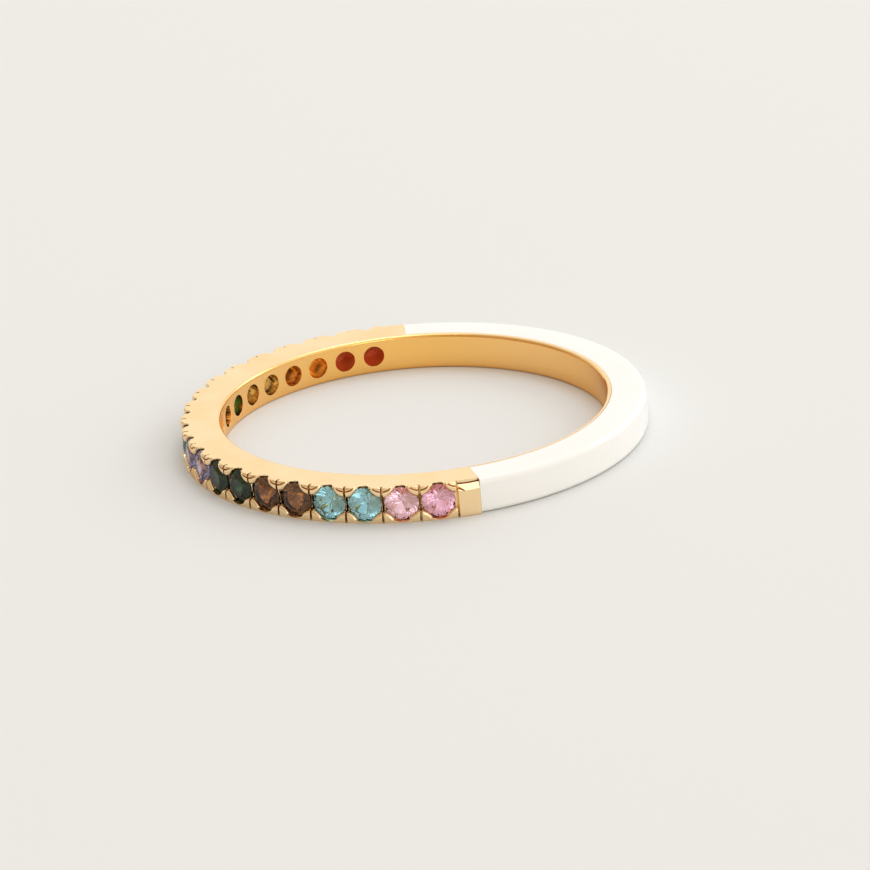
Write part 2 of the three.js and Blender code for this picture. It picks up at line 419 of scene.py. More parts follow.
@dataclass(frozen=True)
class GoldFinish:
    """Polished yellow gold with faint hairlines and cloudier patches."""

    slot: str = "gold"
    colour: Triple = (0.96, 0.70, 0.39)
    pale_colour: Triple = (0.98, 0.76, 0.47)
    edge_tint: Triple = (0.99, 0.91, 0.78)
    # painted reflection: the wall towards the finger gets a deeper orange standing for gold
    # mirrored in gold, and a second painted tone towards the ring's sides
    wall_reflection_colour: Triple = (0.99, 0.58, 0.17)
    # painted shade: a darker colour laid into saw cuts and creases where shade falls
    side_light_colour: Triple = (0.98, 0.60, 0.23)
    crevice_shade_colour: Triple = (0.62, 0.36, 0.12)
    reflection_wall_blend: Pair = (0.00866, 0.00879)
    side_light_blend: Pair = (0.0015, 0.0075)
    shade_reach: float = 0.0002
    shade_range: Pair = (0.3, 0.75)
    shade_samples: int = 6
    roughness: Pair = (0.09, 0.18)
    patch_scale: float = 500.0
    patch_detail: float = 3.0
    hairline_scale: float = 9000.0
    hairline_detail: float = 2.0
    hairline_stretch: Triple = (1.0, 1.0, 6.0)
    hairline_height: float = 0.0000015

    def build(self) -> Material:
        """Makes the gold: painted reflection as a deeper orange on the wall towards the finger,
        with a painted tone that shifts towards the ring's sides, and painted shade in its cuts.

        Returns:
            The material.
        """
        material, tree, shader = new_material(self.slot)
        shader.inputs["Metallic"].default_value = 1.0
        shader.inputs["Specular Tint"].default_value = (*self.edge_tint, 1.0)
        spot = tree.nodes.new("ShaderNodeTexCoord").outputs["Object"]
        patches = noise(tree, spot, self.patch_scale, self.patch_detail)
        link_ramp(tree, patches, self.roughness, shader.inputs["Roughness"])
        # painted reflection and painted light on the wall towards the finger: a tone that changes
        # along Y towards the sides, and a radius mask that picks out the wall
        side_light_mask = reach(tree, spot, (0.0, 1.0, 0.0), self.side_light_blend)
        outside_reflection_wall = reach(tree, spot, (1.0, 1.0, 0.0), self.reflection_wall_blend)
        wall = mix_colours(tree, side_light_mask, self.wall_reflection_colour, self.side_light_colour)
        whole = mix_colours(tree, outside_reflection_wall, self.wall_reflection_colour, self.colour)
        tree.links.new(wall.outputs["Result"], whole.inputs["A"])
        link_colours(tree, patches, self.colour, self.pale_colour, whole.inputs["B"])
        # painted shade: darkens the colour in saw cuts and creases by ambient occlusion
        painted_shade = mix_colours(tree, self.unshaded_share(tree), self.crevice_shade_colour, self.colour)
        tree.links.new(whole.outputs["Result"], painted_shade.inputs["B"])
        tree.links.new(painted_shade.outputs["Result"], shader.inputs["Base Color"])
        lines = noise(
            tree, spot, self.hairline_scale, self.hairline_detail, self.hairline_stretch
        )
        link_bump(tree, lines, self.hairline_height, shader)
        return material

    def unshaded_share(self, tree: Tree) -> Socket:
        """Measures how open a place lies, for the painted shade: 0 deep in a saw cut or crease, 1
        on a plain face.

        Args:
            tree: the material's node tree.

        Returns:
            The share.
        """
        occlusion = tree.nodes.new("ShaderNodeAmbientOcclusion")
        occlusion.samples = self.shade_samples
        occlusion.only_local = True
        occlusion.inputs["Distance"].default_value = self.shade_reach
        spread = tree.nodes.new("ShaderNodeMapRange")
        spread.inputs["From Min"].default_value = self.shade_range[0]
        spread.inputs["From Max"].default_value = self.shade_range[1]
        tree.links.new(occlusion.outputs["AO"], spread.inputs["Value"])
        return spread.outputs["Result"]


@dataclass(frozen=True)
class EnamelFinish:
    """Glossy warm white enamel with a barely wavy surface."""

    slot: str = "enamel"
    colour: Triple = (0.945, 0.92, 0.87)
    pale_colour: Triple = (0.96, 0.94, 0.90)
    roughness: Pair = (0.10, 0.18)
    refraction: float = 1.52
    coat_weight: float = 0.5
    coat_roughness: float = 0.06
    cloud_scale: float = 350.0
    cloud_detail: float = 2.0
    wave_scale: float = 900.0
    wave_detail: float = 1.0
    wave_height: float = 0.000004

    def build(self) -> Material:
        """Makes the enamel material.

        Returns:
            The material.
        """
        material, tree, shader = new_material(self.slot)
        shader.inputs["IOR"].default_value = self.refraction
        shader.inputs["Coat Weight"].default_value = self.coat_weight
        shader.inputs["Coat Roughness"].default_value = self.coat_roughness
        spot = tree.nodes.new("ShaderNodeTexCoord").outputs["Object"]
        clouds = noise(tree, spot, self.cloud_scale, self.cloud_detail)
        link_ramp(tree, clouds, self.roughness, shader.inputs["Roughness"])
        link_colours(tree, clouds, self.colour, self.pale_colour, shader.inputs["Base Color"])
        waves = noise(tree, spot, self.wave_scale, self.wave_detail)
        link_bump(tree, waves, self.wave_height, shader)
        return material


@dataclass(frozen=True)
class GemFinish:
    """A clear cut stone with slightly uneven colour."""

    gem: Gem
    colour: Triple
    zone_colour: Triple
    refraction: float = 1.76
    zone_scale: float = 500.0
    zone_detail: float = 1.0

    def build(self) -> Material:
        """Makes the stone's material.

        Returns:
            The material.
        """
        material, tree, shader = new_material(self.gem.value)
        shader.inputs["Transmission Weight"].default_value = 1.0
        shader.inputs["IOR"].default_value = self.refraction
        shader.inputs["Roughness"].default_value = 0.0
        spot = tree.nodes.new("ShaderNodeTexCoord").outputs["Object"]
        zones = noise(tree, spot, self.zone_scale, self.zone_detail)
        link_colours(tree, zones, self.colour, self.zone_colour, shader.inputs["Base Color"])
        return material


@dataclass(frozen=True)
class FloorFinish:
    """Plain pale floor."""

    colour: Triple = (0.785, 0.79, 0.78)
    roughness: float = 0.7

    def build(self) -> Material:
        """Makes the floor's material.

        Returns:
            The material.
        """
        material, _, shader = new_material("floor")
        shader.inputs["Base Color"].default_value = (*self.colour, 1.0)
        shader.inputs["Roughness"].default_value = self.roughness
        return material


def new_material(name: str) -> tuple[Material, Tree, bpy.types.Node]:
    """Makes an empty node material.

    Args:
        name: the material's name.

    Returns:
        The material, its node tree and its shader.
    """
    material = bpy.data.materials.new(name)
    material.use_nodes = True
    tree = material.node_tree
    return material, tree, tree.nodes["Principled BSDF"]


def noise(
    tree: Tree, spot: Socket, scale: float, detail: float, stretch: Triple = (1.0, 1.0, 1.0)
) -> Socket:
    """Adds a noise pattern to a material.

    Args:
        tree: the material's node tree.
        spot: the coordinates that the pattern reads.
        scale: how fine the pattern is, in waves per metre.
        detail: how many finer patterns lie on it.
        stretch: how much finer it is along each axis.

    Returns:
        The pattern's value.
    """
    mapping = tree.nodes.new("ShaderNodeMapping")
    mapping.inputs["Scale"].default_value = stretch
    tree.links.new(spot, mapping.inputs["Vector"])
    pattern = tree.nodes.new("ShaderNodeTexNoise")
    pattern.inputs["Scale"].default_value = scale
    pattern.inputs["Detail"].default_value = detail
    tree.links.new(mapping.outputs["Vector"], pattern.inputs["Vector"])
    return pattern.outputs["Fac"]


def reach(tree: Tree, spot: Socket, along: Triple, ends: Pair) -> Socket:
    """Measures how far out a place lies, as a smooth step from 0 to 1.

    Args:
        tree: the material's node tree.
        spot: the coordinates of the place.
        along: 1 for each axis that counts.
        ends: the distances, in metres, that give 0 and 1.

    Returns:
        The step's value.
    """
    flatten = tree.nodes.new("ShaderNodeVectorMath")
    flatten.operation = "MULTIPLY"
    flatten.inputs[1].default_value = along
    tree.links.new(spot, flatten.inputs[0])
    length = tree.nodes.new("ShaderNodeVectorMath")
    length.operation = "LENGTH"
    tree.links.new(flatten.outputs["Vector"], length.inputs[0])
    step = tree.nodes.new("ShaderNodeMapRange")
    step.interpolation_type = "SMOOTHSTEP"
    step.inputs["From Min"].default_value = ends[0]
    step.inputs["From Max"].default_value = ends[1]
    tree.links.new(length.outputs["Value"], step.inputs["Value"])
    return step.outputs["Result"]


def mix_colours(tree: Tree, factor: Socket, first: Triple, second: Triple) -> bpy.types.Node:
    """Mixes two colours by a factor.

    Args:
        tree: the material's node tree.
        factor: how much of the second colour shows.
        first: the first colour.
        second: the second colour.

    Returns:
        The mixing node.
    """
    mix = tree.nodes.new("ShaderNodeMix")
    mix.data_type = "RGBA"
    mix.inputs["A"].default_value = (*first, 1.0)
    mix.inputs["B"].default_value = (*second, 1.0)
    tree.links.new(factor, mix.inputs["Factor"])
    return mix


def link_ramp(tree: Tree, value: Socket, ends: Pair, target: Socket) -> None:
    """Spreads a pattern between two numbers and feeds it to a socket.

    Args:
        tree: the material's node tree.
        value: the pattern.
        ends: the numbers at the pattern's low and high places.
        target: the socket that takes the result.
    """
    spread = tree.nodes.new("ShaderNodeMapRange")
    spread.inputs["From Min"].default_value = PATTERN_ENDS[0]
    spread.inputs["From Max"].default_value = PATTERN_ENDS[1]
    spread.inputs["To Min"].default_value = ends[0]
    spread.inputs["To Max"].default_value = ends[1]
    tree.links.new(value, spread.inputs["Value"])
    tree.links.new(spread.outputs["Result"], target)


def link_colours(
    tree: Tree, value: Socket, first: Triple, second: Triple, target: Socket
) -> None:
    """Mixes two colours by a pattern and feeds them to a socket.

    Args:
        tree: the material's node tree.
        value: the pattern.
        first: the colour at its low places.
        second: the colour at its high places.
        target: the socket that takes the result.
    """
    ramp = tree.nodes.new("ShaderNodeValToRGB")
    ends = ramp.color_ramp.elements
    ends[0].position, ends[1].position = COLOUR_ENDS
    ends[0].color = (*first, 1.0)
    ends[1].color = (*second, 1.0)
    tree.links.new(value, ramp.inputs["Fac"])
    tree.links.new(ramp.outputs["Color"], target)


def link_bump(tree: Tree, value: Socket, height: float, shader: bpy.types.Node) -> None:
    """Raises a pattern slightly out of the surface.

    Args:
        tree: the material's node tree.
        value: the pattern.
        height: how far it rises, in metres.
        shader: the shader that takes it.
    """
    bump = tree.nodes.new("ShaderNodeBump")
    bump.inputs["Strength"].default_value = 1.0
    bump.inputs["Distance"].default_value = height
    tree.links.new(value, bump.inputs["Height"])
    tree.links.new(bump.outputs["Normal"], shader.inputs["Normal"])


@dataclass
class StoneRow:
    """The half of the band that holds the stones, made from one half of one setting."""

    sizes: RingSizes
    notch_width: float = 0.47
    notch_depth: float = 0.38
    lobe_round: float = 0.3
    edge_round: float = 0.09
    finger_round: float = 0.14
    azure_diameter: float = 0.95
    seat_clearance: float = 0.02
    stone_clearance: float = 0.02
    rim_height: float = 0.21
    rim_round: float = 0.05
    channel_depth: float = 0.31
    channel_height: float = 0.64
    kerf_width: float = 0.09
    kerf_depth: float = 0.25
    gap_depth: float = 1.0
    gap_height: float = 0.8
    crown_margin: float = 0.1
    girdle_room: float = 0.12
    overlap: float = 0.001
    petal_radius: float = 0.545
    petal_lift: float = 0.07
    petal_thickness: float = 0.45
    petal_round: float = 0.15
    crease_radius: float = 0.6
    crease_drop: float = 0.17
    crease_wire: float = 0.03
    crease_depth: float = 0.12
    body_round: float = 0.03
    body_shares: Arc = Arc(-0.3, 1.1, 16)
    wide_shares: Arc = Arc(-0.6, 1.8, 24)
    drum_sides: int = 72
    notch_sides: int = 64
    crease_sides: int = 96
    wire_sides: int = 12
    lobe_steps: int = 8
    edge_steps: int = 4
    petal_steps: int = 6
    grain: float = 0.0125
    polishing: int = 5
    half_faces: int = 4600
    mirror_merge: float = 1e-4
    seam_merge: float = 2e-4

    def stretch(self, shares: Arc) -> Arc:
        """Gives a stretch of the row.

        Args:
            shares: its start and sweep, as shares of the angle from stone to stone.

        Returns:
            The stretch.
        """
        pitch = self.sizes.pitch
        return Arc(shares.start * pitch, shares.sweep * pitch, shares.steps)

    def drum(
        self, radius: float, top: float, angle: float, depth: float, top_radius: float = -1.0
    ) -> Shape:
        """Adds a round block that points out of the ring.

        Args:
            radius: its radius at its inner end.
            top: how far its outer end lies under the outer face.
            angle: its place round the ring.
            depth: its length.
            top_radius: its radius at its outer end, if it is another one.

        Returns:
            The block.
        """
        bpy.ops.mesh.primitive_cone_add(
            vertices=self.drum_sides,
            radius1=radius,
            radius2=radius if top_radius < 0 else top_radius,
            depth=depth,
            location=place(self.sizes.outer - top - depth / 2, angle),
            rotation=(math.pi / 2, 0, angle),
        )
        return settle(bpy.context.object)

    def box(self, width: float, depth: float, height: float, at: Vector, angle: float) -> Shape:
        """Adds a box that is turned with the ring.

        Args:
            width: its size along the ring.
            depth: its size out of the ring.
            height: its size along the ring's axis.
            at: its middle.
            angle: its turn.

        Returns:
            The box.
        """
        bpy.ops.mesh.primitive_cube_add(size=1, location=at, rotation=(0, 0, angle))
        box = bpy.context.object
        box.scale = (width, depth, height)
        return settle(box)

    def block(self, angle: float) -> Shape:
        """Makes the block of one lobe, with soft upright corners and soft rims.

        Args:
            angle: its place round the ring.

        Returns:
            The block.
        """
        sizes = self.sizes
        width = sizes.pitch_length - self.notch_width
        depth = 2 * self.notch_depth
        at = place(sizes.outer - depth / 2, angle)
        block = self.box(width, depth, 2 * sizes.half_height, at, angle)
        outward = place(1.0, angle)
        corners = []
        for edge in block.data.edges:
            ends = [block.data.vertices[number].co for number in edge.vertices]
            upright = abs(ends[0].z - ends[1].z) > sizes.half_height
            if upright and (ends[0] - at).dot(outward) > 0:
                corners.append(edge.index)
        bevel(block, Part.EDGES, corners, self.lobe_round, self.lobe_steps)
        rims = []
        for edge in block.data.edges:
            ends = [block.data.vertices[number].co for number in edge.vertices]
            flat = abs(ends[0].z - ends[1].z) < self.grain
            if flat and max((end - at).dot(outward) for end in ends) > self.grain - depth / 2:
                rims.append(edge.index)
        bevel(block, Part.EDGES, rims, self.edge_round, self.edge_steps)
        return block

    def dome(self, angle: float) -> Shape:
        """Makes the domed disc that a petal is trimmed from, over the upper edge.

        Args:
            angle: its place round the ring.

        Returns:
            The disc.
        """
        sizes = self.sizes
        disc = self.drum(self.petal_radius, 0.0, angle, self.petal_thickness)
        disc.location = (0, 0, sizes.half_height + self.petal_lift)
        settle(disc)
        outward = place(1.0, angle)
        front = []
        for edge in disc.data.edges:
            ends = [disc.data.vertices[number].co for number in edge.vertices]
            if min(end.dot(outward) for end in ends) > sizes.outer - self.grain:
                front.append(edge.index)
        bevel(disc, Part.EDGES, front, self.petal_round, self.petal_steps)
        return disc

    def lower_petal(self, angle: float, arc: Arc) -> Shape:
        """Makes the plain lower petal of one lobe, which ends in the unbroken lower rim.

        Args:
            angle: its place round the ring.
            arc: the stretch that the rim takes.

        Returns:
            The petal.
        """
        sizes = self.sizes
        petal = self.dome(angle)
        petal.scale = (1, 1, -1)
        face_outwards(settle(petal))
        half = sizes.half_height
        inner = sizes.outer - 2 * self.notch_depth
        rim = Bar(inner, sizes.outer, -half, half, outer_round=self.rim_round)
        return work(petal, spun_bar(rim, arc), Join.TRIM)

    def petal(self, angle: float) -> Shape:
        """Makes the upper petal of one lobe: its front, domed and with an engraved crease.

        Args:
            angle: its place round the ring.

        Returns:
            The petal.
        """
        sizes = self.sizes
        petal = work(self.dome(angle), self.block(angle), Join.TRIM)
        bpy.ops.mesh.primitive_torus_add(
            location=place(sizes.outer, angle)
            + Vector((0, 0, sizes.half_height - self.crease_drop + self.crease_radius)),
            rotation=(math.pi / 2, 0, angle),
            major_radius=self.crease_radius,
            minor_radius=self.crease_wire,
            major_segments=self.crease_sides,
            minor_segments=self.wire_sides,
        )
        crease = bpy.context.object
        crease.scale = (1, 1, self.crease_depth / self.crease_wire)
        return work(petal, settle(crease), Join.CUT)

    def cut_seat(self, metal: Shape, angle: float) -> None:
        """Cuts the bore, the cone and the open hole of one stone.

        Args:
            metal: the metal that is cut.
            angle: the stone's place round the ring.
        """
        sizes = self.sizes
        bore = sizes.stone_diameter / 2 + self.seat_clearance
        hole = self.azure_diameter / 2
        cone_top = sizes.girdle_depth + sizes.girdle_height + self.seat_clearance / 2
        cone_depth = (bore - hole) * math.tan(sizes.pavilion_angle)
        work(metal, self.drum(bore, -CUT_MARGIN, angle, cone_top + CUT_MARGIN), Join.CUT)
        work(metal, self.drum(hole, cone_top, angle, cone_depth, bore), Join.CUT)
        work(metal, self.drum(hole, cone_top, angle, sizes.wall + CUT_MARGIN), Join.CUT)

    def cut_room(self, metal: Shape, angle: float) -> None:
        """Frees the room of one stone's crown under the petals.

        Args:
            metal: the metal that is cut.
            angle: the stone's place round the ring.
        """
        sizes = self.sizes
        radius = sizes.stone_diameter / 2 + self.stone_clearance
        top = sizes.girdle_depth - self.stone_clearance / 2
        rise = top + self.crown_margin
        upper = radius - rise / math.tan(sizes.crown_angle)
        work(metal, self.drum(radius, -self.crown_margin, angle, rise, upper), Join.CUT)
        work(metal, self.drum(radius, top - self.overlap, angle, self.girdle_room), Join.CUT)

    def half_setting(self) -> Shape:
        """Makes half of one setting: from a stone's middle to the saw cut.

        Returns:
            The half, open where it meets its neighbours.
        """
        sizes = self.sizes
        half = sizes.half_height
        lobe_at = sizes.pitch / 2
        straight = self.notch_depth - self.notch_width / 2
        arc = self.stretch(self.body_shares)
        wide = self.stretch(self.wide_shares)
        rounds = (self.finger_round, self.body_round)
        metal = spun_bar(Bar(sizes.inner, sizes.outer - straight, -half, half, *rounds), arc)
        for angle in (0.0, sizes.pitch):
            bpy.ops.mesh.primitive_cylinder_add(
                vertices=self.notch_sides,
                radius=self.notch_width / 2,
                depth=2 * half,
                location=place(sizes.outer - straight, angle, half),
            )
            work(metal, settle(bpy.context.object), Join.CUT)
        top = self.rim_height - half
        inner = sizes.outer - self.notch_depth
        rim = Bar(inner, sizes.outer, -half, top, outer_round=self.rim_round)
        work(metal, spun_bar(rim, arc), Join.FUSE)
        room = self.channel_height / 2
        channel = Bar(sizes.outer - self.channel_depth, sizes.outer + CUT_MARGIN, -room, room)
        work(metal, spun_bar(channel, wide), Join.CUT)
        self.cut_seat(metal, 0.0)
        self.cut_seat(metal, sizes.pitch)
        work(metal, self.petal(lobe_at), Join.FUSE)
        work(metal, self.lower_petal(lobe_at, wide), Join.FUSE)
        self.cut_room(metal, 0.0)
        self.cut_room(metal, sizes.pitch)
        for deep, high in ((self.kerf_depth, 4 * half), (self.gap_depth, self.gap_height)):
            depth = deep + CUT_MARGIN
            at = place(sizes.outer - deep + depth / 2, lobe_at)
            work(metal, self.box(self.kerf_width, depth, high, at, lobe_at), Join.CUT)
        return self.soften(metal)

    def soften(self, metal: Shape) -> Shape:
        """Rounds all edges as polishing does, keeps the plain faces true and cuts the half out.

        Args:
            metal: the sharp-edged setting.

        Returns:
            The half, open where it meets its neighbours.
        """
        sizes = self.sizes
        apply_modifier(metal, "REMESH", mode="VOXEL", voxel_size=self.grain, adaptivity=0.0)
        apply_modifier(metal, "SMOOTH", factor=0.5, iterations=self.polishing)
        for vertex in metal.data.vertices:
            vertex.co = self.trued(vertex.co)
        slice_off(metal, Vector((0, 0, 0)), Vector((-1, 0, 0)), False)
        side = Vector((math.cos(sizes.pitch / 2), math.sin(sizes.pitch / 2), 0))
        slice_off(metal, Vector((0, 0, 0)), side, False)
        ratio = self.half_faces / (2 * len(metal.data.polygons))
        apply_modifier(metal, "DECIMATE", decimate_type="COLLAPSE", ratio=ratio)
        return metal

    def trued(self, spot: Vector) -> Vector:
        """Moves a point that lies next to the top, the bottom or the finger's wall onto it.

        Args:
            spot: the point.

        Returns:
            The point, moved if it lies near enough.
        """
        sizes = self.sizes
        near = 0.6 * self.grain
        radius = spot.xy.length
        height = abs(spot.z)
        corner = (sizes.inner + self.finger_round, sizes.half_height - self.finger_round)
        from_corner = Vector((radius - corner[0], height - corner[1]))
        if from_corner.x < 0 < from_corner.y:
            if abs(from_corner.length - self.finger_round) < near:
                from_corner *= self.finger_round / from_corner.length
        elif abs(height - sizes.half_height) < near:
            from_corner.y = self.finger_round
        elif abs(radius - sizes.inner) < near:
            from_corner.x = -self.finger_round
        flat = spot.xy * ((corner[0] + from_corner.x) / radius)
        return Vector((flat.x, flat.y, math.copysign(corner[1] + from_corner.y, spot.z)))

    def build(self) -> Shape:
        """Makes one setting from its half and copies it along the row.

        Returns:
            The closed row.
        """
        sizes = self.sizes
        first = self.half_setting()
        apply_modifier(
            first,
            "MIRROR",
            use_axis=(True, False, False),
            merge_threshold=self.mirror_merge,
            use_clip=True,
        )
        copies = []
        for index in range(sizes.stone_count):
            copy = first.copy()
            copy.data = first.data.copy()
            bpy.context.scene.collection.objects.link(copy)
            copy.rotation_euler = (0, 0, ((sizes.stone_count - 1) / 2 - index) * sizes.pitch)
            copies.append(copy)
        bpy.data.objects.remove(first)
        pick(copies[0])
        for copy in copies:
            copy.select_set(True)
        bpy.ops.object.transform_apply(location=True, rotation=True, scale=True)
        bpy.ops.object.join()
        row = bpy.context.object
        bpy.ops.object.mode_set(mode="EDIT")
        bpy.ops.mesh.select_all(action="SELECT")
        bpy.ops.mesh.remove_doubles(threshold=self.seam_merge)
        bpy.ops.object.mode_set(mode="OBJECT")
        return face_outwards(row)


@dataclass
class PlainBand:
    """The rest of the gold: a plain tile at each end of the row and the core under the enamel."""

    sizes: RingSizes
    row: StoneRow
    bevel_width: float = 0.13
    bevel_height: float = 0.42
    step_height: float = 0.13
    groove_width: float = 0.08
    groove_depth: float = 0.2
    nick_length: float = 0.36
    nick_width: float = 0.13
    nick_tip: float = 0.2
    nick_depth: float = 0.26
    nick_drop: float = 0.34
    nick_slant: float = math.radians(30)
    core_margin: float = 0.5
    end_margin: float = 0.1
    neck_share: float = 0.1
    overlap: float = 0.01
    corner_round: float = 0.05
    corner_steps: int = 4
    neck_steps: int = 2
    tile_steps: int = 6
    steps: int = 150

    def around(self, start: float) -> Arc:
        """Gives the stretch from one angle round the back to its mirror image."""
        return Arc(start, 2 * math.pi - 2 * start, self.steps)

    def tile_arc(self, start: float) -> Arc:
        """Gives the stretch of the tile that starts at one angle."""
        return Arc(start, self.sizes.tile_end - self.sizes.row_end, self.tile_steps)

    def pocket(self) -> Shape:
        """Makes the cutter that leaves the core and the thin rims under the enamel.

        Returns:
            The cutter.
        """
        sizes = self.sizes
        half = sizes.half_height
        under = sizes.enamel_thickness + sizes.enamel_gap
        rim = sizes.inner + sizes.rim_width
        room = Bar(rim, sizes.outer + CUT_MARGIN, -half - CUT_MARGIN, half + CUT_MARGIN)
        pocket = spun_bar(room, self.around(sizes.tile_end))
        core = Bar(rim - self.core_margin, sizes.outer - under, under - half, half - under)
        inside = spun_bar(core, self.around(sizes.tile_end - self.end_margin))
        return work(pocket, inside, Join.CUT)

    def tile_edge(self, start: float) -> Shape:
        """Makes the cutter of one tile's slanted upper edge.

        Args:
            start: where the tile starts.

        Returns:
            The cutter.
        """
        sizes = self.sizes
        low = sizes.half_height - self.bevel_height
        inner = sizes.outer - self.bevel_width
        bar = Bar(inner, sizes.outer + CUT_MARGIN, low, sizes.half_height + CUT_MARGIN)
        cutter = spun_bar(bar, self.tile_arc(start))
        middle = start + (sizes.tile_end - sizes.row_end) / 2
        rise = self.bevel_height - self.step_height
        inward = place(-rise, middle, -self.bevel_width)
        slice_off(cutter, place(sizes.outer, middle, low), inward, True)
        return cutter

    def groove(self, start: float) -> Shape:
        """Makes the cutter of the fine line over one tile's slanted edge.

        Args:
            start: where the tile starts.

        Returns:
            The cutter.
        """
        sizes = self.sizes
        low = sizes.half_height - self.groove_depth
        edge = sizes.outer - self.bevel_width
        high = sizes.half_height + CUT_MARGIN
        bar = Bar(edge - self.groove_width, edge + self.overlap, low, high)
        return spun_bar(bar, self.tile_arc(start))

    def nick(self, side: int) -> Shape:
        """Makes the cutter of the short slanting nick at one corner of a tile, which runs thin.

        Args:
            side: 1 for the tile at the +X end of the row, -1 for the other one.

        Returns:
            The cutter.
        """
        sizes = self.sizes
        angle = side * (sizes.row_end + self.nick_length / 2 / sizes.outer)
        nick = self.row.box(
            self.nick_length, 2 * self.nick_depth, self.nick_width, Vector((0, 0, 0)), 0.0
        )
        thin_end = [vertex.index for vertex in nick.data.vertices if vertex.co.x * side > 0]
        mark(nick, Part.CORNERS, thin_end)
        bpy.ops.transform.resize(value=(1, 1, self.nick_tip))
        bpy.ops.object.mode_set(mode="OBJECT")
        nick.rotation_euler = (0, side * self.nick_slant, 0)
        settle(nick)
        nick.rotation_euler = (0, 0, angle)
        nick.location = place(sizes.outer, angle, sizes.half_height - self.nick_drop)
        return settle(nick)

    def build(self) -> Shape:
        """Makes the plain gold from one end of the row round the back to the other.

        Returns:
            The closed shape.
        """
        sizes = self.sizes
        half = sizes.half_height
        kerf = self.row.kerf_width / 2 / sizes.outer
        rounds = (self.row.finger_round, self.corner_round, self.corner_steps)
        band = Bar(sizes.inner, sizes.outer, -half, half, *rounds)
        gold = spun_bar(band, self.around(sizes.row_end + kerf))
        work(gold, self.pocket(), Join.CUT)
        for side, start in ((1, sizes.row_end), (-1, -sizes.tile_end)):
            work(gold, self.tile_edge(start), Join.CUT)
            work(gold, self.groove(start), Join.CUT)
            work(gold, self.nick(side), Join.CUT)
        reached = sizes.outer - self.row.kerf_depth
        neck = Bar(sizes.inner, reached, -half, half, self.row.finger_round)
        margin = self.neck_share * (sizes.tile_end - sizes.row_end)
        for end in (sizes.row_end, -sizes.row_end):
            seam = Arc(end - margin, 2 * margin, self.neck_steps)
            work(gold, spun_bar(neck, seam), Join.FUSE)
        return gold


@dataclass
class EnamelCover:
    """White enamel that wraps the core's top, outer and bottom faces."""

    sizes: RingSizes
    corner_round: float = 0.3
    lip_round: float = 0.03
    round_steps: int = 10
    end_margin: float = 0.05
    steps: int = 150

    def build(self) -> Shape:
        """Makes the C-shaped cover.

        Returns:
            The closed shape.
        """
        sizes = self.sizes
        half = sizes.half_height
        start = sizes.tile_end + sizes.enamel_gap / sizes.outer
        sweep = 2 * math.pi - 2 * start
        rim = sizes.inner + sizes.rim_width + sizes.enamel_gap
        rounds = (self.lip_round, self.corner_round, self.round_steps)
        cover = spun_bar(
            Bar(rim, sizes.outer, -half, half, *rounds), Arc(start, sweep, self.steps)
        )
        under = sizes.enamel_thickness
        wide = Arc(start - self.end_margin, sweep + 2 * self.end_margin, self.steps)
        core = Bar(sizes.inner - CUT_MARGIN, sizes.outer - under, under - half, half - under)
        return work(cover, spun_bar(core, wide), Join.CUT)


@dataclass
class Ring:
    """The whole ring: its gold, its enamel and its stones."""

    sizes: RingSizes = field(default_factory=RingSizes)
    gold_smooth: float = math.radians(38)
    enamel_smooth: float = math.radians(30)
    stones_per_colour: int = 2

    def gold(self) -> None:
        """Builds the band and dresses it in gold."""
        row = StoneRow(self.sizes)
        band = row.build()
        work(band, PlainBand(self.sizes, row).build(), Join.FUSE)
        plain_from = self.sizes.outer * -math.cos(self.sizes.row_end)
        piece = finish_piece(band, "gold_band", self.sizes, self.gold_smooth, plain_from)
        self.dress(piece, GoldFinish().build(), "gold", "band")

    def enamel(self) -> None:
        """Builds the enamel and dresses it."""
        cover = EnamelCover(self.sizes).build()
        piece = finish_piece(
            cover, "enamel_cover", self.sizes, self.enamel_smooth, self.sizes.outer
        )
        self.dress(piece, EnamelFinish().build(), "enamel", "enamel")

    def stones(self) -> None:
        """Dresses the cut stones in their ten colours."""
        for number, finish in enumerate(GEM_FINISHES):
            material = finish.build()
            first = self.stones_per_colour * number + 1
            for index in range(first, first + self.stones_per_colour):
                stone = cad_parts[f"stone_{index:02d}"]
                for slot in stone.material_slots:
                    slot.material = material
            LOG.info("dressed %d stones as %s", self.stones_per_colour, finish.gem.value)

    @staticmethod
    def dress(piece: Shape, material: Material, slot: str, node: str) -> None:
        """Gives a piece its material and its place in the frame.

        Args:
            piece: the piece.
            material: its material.
            slot: the record's slot for that material; not used.
            node: the solid that the piece stands for.
        """
        piece.data.materials.clear()
        piece.data.materials.append(material)
        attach(piece, "root")
        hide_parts(node)
        LOG.info("built %s with %d faces", piece.name, len(piece.data.polygons))


GEM_FINISHES = (
    GemFinish(Gem.PINK, (0.81, 0.41, 0.54), (0.87, 0.61, 0.64)),
    GemFinish(Gem.AQUA, (0.22, 0.50, 0.58), (0.36, 0.64, 0.68)),
    GemFinish(Gem.BROWN, (0.13, 0.065, 0.03), (0.19, 0.10, 0.05), DARK_REFRACTION),
    GemFinish(Gem.DARK_GREEN, (0.008, 0.03, 0.02), (0.014, 0.05, 0.033), DARK_REFRACTION),
    GemFinish(Gem.VIOLET, (0.30, 0.28, 0.78), (0.42, 0.42, 0.90)),
    GemFinish(Gem.TEAL, (0.02, 0.26, 0.34), (0.04, 0.34, 0.42)),
    GemFinish(Gem.GREEN, (0.05, 0.44, 0.20), (0.10, 0.54, 0.27)),
    GemFinish(Gem.YELLOW, (0.90, 0.80, 0.44), (0.93, 0.86, 0.56)),
    GemFinish(Gem.ORANGE, (0.90, 0.30, 0.04), (0.94, 0.40, 0.08)),
    GemFinish(Gem.GARNET, (0.29, 0.03, 0.012), (0.36, 0.05, 0.017), DARK_REFRACTION),
)


